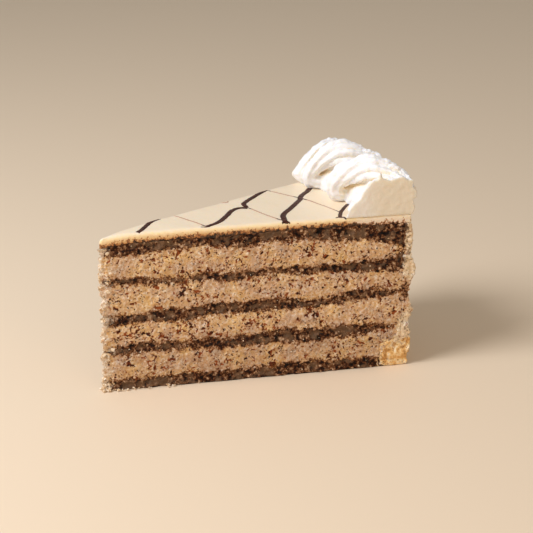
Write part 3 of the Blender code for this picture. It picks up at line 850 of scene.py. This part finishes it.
def loopAt(turns):
    # the values at that many turns, on a smooth closed line through the loop's rows
    rows = rope["loop"]
    where = (turns % 1.0) * len(rows)
    at = int(where)
    t = where - at
    a, b, c, d = (rows[(at + k) % len(rows)] for k in (-1, 0, 1, 2))
    return [0.5 * (2.0 * q + (r - p) * t + (2.0 * p - 5.0 * q + 4.0 * r - s) * t * t
                   + (3.0 * q - p - 3.0 * r + s) * t ** 3) for p, q, r, s in zip(a, b, c, d)]


def strandCentre(turns):
    radius, height, turn, thick, groove = loopAt(turns)
    angle = rope["pitch"] * turns + rope["start"] + turn - rope["crowd"] * max(0.0, turns - 1.0) ** 2
    middle, middleHeight = rope["middle"]
    return (polar(radius, angle, icingSet["top"] + height),
            polar(middle, angle, icingSet["top"] + middleHeight), thick, groove)


def skinRows(name, rows):
    # a closed tube through rows of points
    count = len(rows[0])
    points = [point for row in rows for point in row]
    faces = [tuple(reversed(range(count))), tuple(range(len(points) - count, len(points)))]
    for row in range(len(rows) - 1):
        for k in range(count):
            n = (k + 1) % count
            faces.append((row * count + k, row * count + n,
                          (row + 1) * count + n, (row + 1) * count + k))
    mesh = bpy.data.meshes.new(name)
    mesh.from_pydata(points, [], faces)
    return addObject(name, mesh)


def strandRows():
    ridges = rope["ridges"]
    points = ridges * rope["perRidge"]
    lines, lineDepth = rope["lines"]
    first, last = rope["loops"]
    total = int((last - first) * rope["steps"])
    rows = []
    for step in range(total + 1):
        turns = first + (last - first) * step / total
        spot, middle, thick, groove = strandCentre(turns)
        ahead = (strandCentre(turns + 0.002)[0] - strandCentre(turns - 0.002)[0]).normalized()
        outward = spot - middle
        outward = (outward - ahead * outward.dot(ahead)).normalized()
        across = ahead.cross(outward)
        row = []
        for k in range(points):
            turn = 2.0 * math.pi * k / points
            tooth = abs(math.cos(turn * ridges / 2.0)) ** rope["sharp"]
            line = abs(math.cos(turn * lines / 2.0))
            radius = thick * mm * (1.0 - groove * (1.0 - tooth) - lineDepth * (1.0 - line))
            row.append(spot + outward * (radius * math.cos(turn)) + across * (radius * math.sin(turn)))
        rows.append(row)
    return rows


def cutOutline(share):
    # a point of the front cut's outline, from the inner foot at 0 to the outer foot at 1
    outline = rope["cutLine"] + rope["cutSide"]
    return between([(index / (len(outline) - 1), *row) for index, row in enumerate(outline)], share)


def bedRows():
    # a low bank that takes the cut's outline towards the front
    rows = []
    inner, outer, high = rope["bed"]
    first, last = rope["bedTurn"]
    sections, points = rope["bedSections"], rope["bedPoints"]
    for section in range(sections + 1):
        angle = first + (last - first) * section / sections
        front = bell(max(0.0, angle) / rope["frontAngle"])
        row = []
        for k in range(2 * points):
            turn = math.pi * k / points
            radius = (inner + outer) / 2.0 - (outer - inner) / 2.0 * math.cos(turn)
            height = high * math.sin(turn)
            cutRadius, cutHeight = cutOutline(k / points) if k <= points else (radius, height)
            row.append(polar(radius + (cutRadius - radius) * front, angle,
                             icingSet["top"] + height + (cutHeight - height) * front))
        rows.append(row)
    return rows


def slump(place):
    # lower at the far end, and pressed down to the cut's outline at the front
    radius, angle = fromApex(place)
    rise = place.z / mm - icingSet["top"]
    sagFrom, sagOver, sag, least = rope["sag"]
    if angle > sagFrom:
        back, backFrom, backOver = rope["leanBack"]
        radius += rope["farOut"] * smooth((angle - sagFrom) / sagOver)
        radius += back * smooth((angle - sagFrom) / sagOver) * smooth((rise - backFrom) / backOver)
        rise *= max(least, 1.0 - sag * ((angle - sagFrom) / sagOver) ** 1.5)
    front, frontFrom, frontOver = rope["leanFront"]
    frontTo, toOver, frontTurn = rope["leanFrontTo"]
    radius += front * bell(max(0.0, angle) / frontTurn) * smooth((rise - frontFrom) / frontOver) * smooth(
        (frontTo - radius) / toOver)
    most = between(rope["cutLine"], radius)[0]
    if rise > most:
        rise += (most - rise) * bell(max(0.0, angle) / rope["pressAngle"])
    return polar(radius, angle, icingSet["top"] + rise)


def buildWhippedCream():
    strand = skinRows("strand", strandRows())
    bed = skinRows("bed", bedRows())
    piece = joinPieces("piped_cream", [strand, bed])
    for vertex in piece.data.vertices:
        vertex.co = slump(vertex.co)
    pickAll(piece)
    bpy.ops.mesh.normals_make_consistent(inside=False)
    bpy.ops.object.mode_set(mode="OBJECT")
    addModifier(piece, "REMESH", mode="VOXEL", voxel_size=rope["voxel"])
    addModifier(piece, "SMOOTH", factor=0.5, iterations=1)

    # cut it with the slice
    margin, low, high, sides = rope["cutter"]
    cutter = wedgeBlock(wedge["radius"] + margin * mm, low * mm, high * mm, sides)
    addModifier(piece, "BOOLEAN", operation="INTERSECT", object=cutter, solver="MANIFOLD")
    bpy.data.objects.remove(cutter)
    addModifier(piece, "REMESH", mode="VOXEL", voxel_size=rope["voxel"])

    # only the one big body, then small lumps and the knife's drag on the cut
    pickNone(piece, "VERT")
    radius, rise = rope["bodyAt"]
    inBody = polar(radius, 0.0, icingSet["top"] + rise)
    nearest = min(piece.data.vertices, key=lambda v: (v.co - inBody).length)
    nearest.select = True
    bpy.ops.object.mode_set(mode="EDIT")
    bpy.ops.mesh.select_linked()
    bpy.ops.mesh.select_all(action="INVERT")
    bpy.ops.mesh.delete(type="VERT")
    bpy.ops.object.mode_set(mode="OBJECT")

    raggedFrom, raggedOver = rope["raggedFrom"]
    paintWeights(piece, "cut", besideCut)
    paintWeights(piece, "piped", lambda p: 1.0 - besideCut(p))
    paintWeights(piece, "outer", lambda p: (1.0 - besideCut(p)) * smooth(
        (fromApex(p)[0] - raggedFrom) / raggedOver))
    for group, key in (("cut", "cutRelief"), ("piped", "bulges"), ("piped", "lumps"),
                       ("outer", "ragged")):
        size, depth = rope[key]
        pushOut(piece, reliefTexture(key, "CLOUDS", size, noise_depth=2), depth * mm, group=group)

    # painted shade in the folds: how much of what a place faces, seen from 0.3 mm off it, is more cream
    surface = BVHTree.FromObject(piece, bpy.context.evaluated_depsgraph_get())
    facings = {tuple(vertex.co): vertex.normal.copy() for vertex in piece.data.vertices}
    looks = [Vector((x, y, z)).normalized() * 0.9 for x in (-1, 1) for y in (-1, 1) for z in (-1, 1)]

    def paintedFoldShade(place):
        facing = facings[tuple(place)]
        hits = [surface.ray_cast(place + facing * 0.3 * mm, facing + look, rope["foldShadeReach"] * mm)[0]
                for look in looks]
        return sum(1 for hit in hits if hit) / len(hits)

    paintAttribute(piece, "paintedFoldShade", paintedFoldShade)
    # the cut's tint, partly the knife's smear and partly painted shade: half at the inner foot, whole
    # towards the rim
    smearedFrom, smearedOver = rope["smearedFrom"]
    paintAttribute(piece, "cutSmearAndShade", lambda p: besideCut(p) * (
        0.5 + 0.5 * smooth((fromApex(p)[0] - smearedFrom) / smearedOver)))
    bpy.ops.object.shade_smooth()
    dress(piece, whipped, "whipped_cream", "whipped_cream")
    return piece


pipedCream = buildWhippedCream()
print("whipped cream", len(pipedCream.data.polygons))


# Crumbs and nut skins on the cuts, and crumbs at the foot
scatter = {
    # how many on each cut, least and most size in mm, what share is sunk in, flatness
    "paleCrumbs": (320, 0.35, 1.1, 0.25, 0.75),
    "nutSkins": (520, 0.3, 0.85, 0.15, 0.5),
    "footCrumbs": (60, 0.4, 1.3, 0.0, 0.8),
    "tipCrumbs": (90, 0.7, 2.0, 0.2, 0.8),
    "tipHeights": [(46.0, 2.5), (17.5, 3.0), (2.5, 2.0), (30.0, 16.0)],    # mm: middle, spread
    # least distance from the apex and what is added to it, in mm, and how they crowd inwards
    "cutReach": (1.5, 121.5, 1.0), "tipReach": (0.9, 4.5, 1.5), "footReach": (1.0, 40.0, 2.0),
    "cutHeights": (0.8, 59.5), "fromFoot": (-0.2, 1.6),     # mm
    "fewLarge": 2.5,            # the higher, the fewer are large
    "pinch": (0.75, 1.25), "stretch": (0.7, 1.5),   # how uneven and how long they are
    "tilt": 0.6,                # radians either way
    "angular": 40.0,            # degrees from which an edge stays sharp
}


def crumbMaterial(name, stops):
    # Crumbled off the cut: matt and dry, each crumb a tone of its own by where it lies.
    material, tree, place = startMaterial(name, Roughness=0.7, Specular_IOR_Level=0.25)
    tones = addNode(tree, "TexNoise", {"Vector": place, "Scale": 1 / 1.5, "Detail": 2.0})
    tone = addNode(tree, "ValToRGB", {"Fac": tones}, ramp=stops)
    tree.links.new(tone.outputs[0], tree.nodes["Principled BSDF"].inputs["Base Color"])
    return material


def modelCrumb():
    # one crumb, a pinched ball of twenty faces
    deselectAll()
    bpy.ops.mesh.primitive_ico_sphere_add(subdivisions=1, radius=0.5 * mm, location=(0.0, 0.0, 0.0))
    crumb = bpy.context.active_object
    rng = random.Random(4)
    for vertex in crumb.data.vertices:
        vertex.co *= rng.uniform(*scatter["pinch"])
    return crumb


def drawReach(key, rng):
    least, more, crowding = scatter[key]
    return least + more * rng.random() ** crowding


def crumbSpots(kind, rng):
    # where each lies: place, facing and size
    count, least, most, depth = scatter[kind][:4]
    ground = [BVHTree.FromObject(piece, bpy.context.evaluated_depsgraph_get())
              for piece in layers + [coat]]
    spots = []
    for side, angle in ((-1.0, 0.0), (1.0, wedge["angle"])):
        facing = Vector((-math.sin(wedge["half"]), side * math.cos(wedge["half"]), 0.0))
        for _ in range(count):
            size = least + (most - least) * rng.random() ** scatter["fewLarge"]
            if kind == "footCrumbs":
                radius = drawReach("footReach", rng)
                spot = polar(radius, angle) + facing * (rng.uniform(*scatter["fromFoot"]) * mm)
                spot.z = 0.45 * size * mm       # they lie on the floor
                spots.append((spot, Vector((0.0, 0.0, 1.0)), size))
                continue
            radius = drawReach("cutReach", rng)
            height = rng.uniform(*scatter["cutHeights"])
            if kind == "tipCrumbs":
                radius = drawReach("tipReach", rng)
                height = max(1.0, min(59.0, rng.gauss(*rng.choice(scatter["tipHeights"]))))
            # found from 20 mm outside the cut
            spot = polar(radius, angle, height)
            hits = [tree.ray_cast(spot + facing * 0.02, -facing, 0.03) for tree in ground]
            hits = [hit for hit in hits if hit[0]]
            if hits:
                hit = min(hits, key=lambda h: h[3])
                spots.append((hit[0] - hit[1] * (depth * size * mm), hit[1], size))
    return spots


def scatterCrumbs(kind, material, slot, seed):
    rng = random.Random(seed)
    flatness, tilt = scatter[kind][4], scatter["tilt"]
    model = modelCrumb()
    copies = []
    for spot, facing, size in crumbSpots(kind, rng):
        copy = addObject(kind, model.data.copy())
        turned = facing.to_track_quat("Z", "Y").to_matrix() @ Euler(
            (rng.uniform(-tilt, tilt), rng.uniform(-tilt, tilt), rng.uniform(0.0, 6.28))).to_matrix()
        stretch = rng.uniform(*scatter["stretch"])
        for vertex in copy.data.vertices:
            point = vertex.co * size
            vertex.co = spot + turned @ Vector((point.x * stretch, point.y, point.z * flatness))
        copies.append(copy)
    bpy.data.objects.remove(model)
    piece = joinPieces(kind, copies)
    bpy.ops.object.shade_smooth_by_angle(angle=math.radians(scatter["angular"]))
    dress(piece, material, slot)
    print(kind, len(copies))


paleCrumb = crumbMaterial("Dry cream crumb", [(0.38, "c8a47c"), (0.5, "e2c8a4"), (0.62, "f6e8d4")])
walnutSkin = crumbMaterial("Walnut skin", [(0.38, "2c1409"), (0.5, "5c3018"), (0.62, "94602e")])
for seed, kind in enumerate(("paleCrumbs", "nutSkins", "footCrumbs", "tipCrumbs"), 11):
    ofSkin = kind == "nutSkins"
    scatterCrumbs(kind, walnutSkin if ofSkin else paleCrumb, "nut_meringue" if ofSkin else "nut_cream", seed)


# Floor, light and camera
studio = {
    "floor": "eedac0", "floorSize": 8.0, "floorAt": -0.2 * mm,      # in metres
    "world": "f2eee8", "worldStrength": 0.40,
    "key": (Vector((-0.62, 0.0, 0.66)), 0.45, 6.7, "fafbff"),
    "fill": (Vector((-0.10, -0.85, 0.35)), 0.7, 1.6, "ffd6a4"),
    "aim": Vector((0.0, 0.0, 0.04)),
    # the camera's place from the apex in mm, degrees down and to the side, and its lens
    "camera": (-202.69, -523.50, 251.36), "down": 19.683, "aside": 27.781, "lens": 105.43,
}


def addLight(name, spot, size, power, colour):
    deselectAll()
    bpy.ops.object.light_add(type="AREA", location=spot)
    lamp = bpy.context.active_object
    lamp.name = name
    lamp.data.shape = "DISK"
    lamp.data.size = size
    lamp.data.energy = power
    lamp.data.color = linear(colour)[:3]
    lamp.rotation_euler = (studio["aim"] - spot).to_track_quat("-Z", "Y").to_euler()


def buildStudio():
    deselectAll()
    bpy.ops.mesh.primitive_plane_add(size=studio["floorSize"], location=(0.0, 0.0, studio["floorAt"]))
    floor = bpy.context.active_object
    floor.name = "floor"
    paint = startMaterial("Matt paint", Roughness=0.6, Specular_IOR_Level=0.3,
                          Base_Color=linear(studio["floor"]))[0]
    floor.data.materials.append(paint)
    for name in ("key", "fill"):
        addLight(name, *studio[name])
    world = bpy.data.worlds.new("soft room")
    bpy.context.scene.world = world
    world.use_nodes = True
    background = world.node_tree.nodes["Background"]
    background.inputs["Color"].default_value = linear(studio["world"])
    background.inputs["Strength"].default_value = studio["worldStrength"]

    deselectAll()
    x, y, z = studio["camera"]
    bpy.ops.object.camera_add(
        location=(wedge["apexX"] + x * mm, y * mm, z * mm),
        rotation=(math.radians(90.0 - studio["down"]), 0.0, math.radians(-studio["aside"])))
    camera = bpy.context.active_object
    camera.data.sensor_width = 36.0
    camera.data.lens = studio["lens"]
    camera.data.clip_start = 0.01
    bpy.context.scene.camera = camera
    bpy.context.scene.view_settings.view_transform = "Standard"


buildStudio()
print("finished")
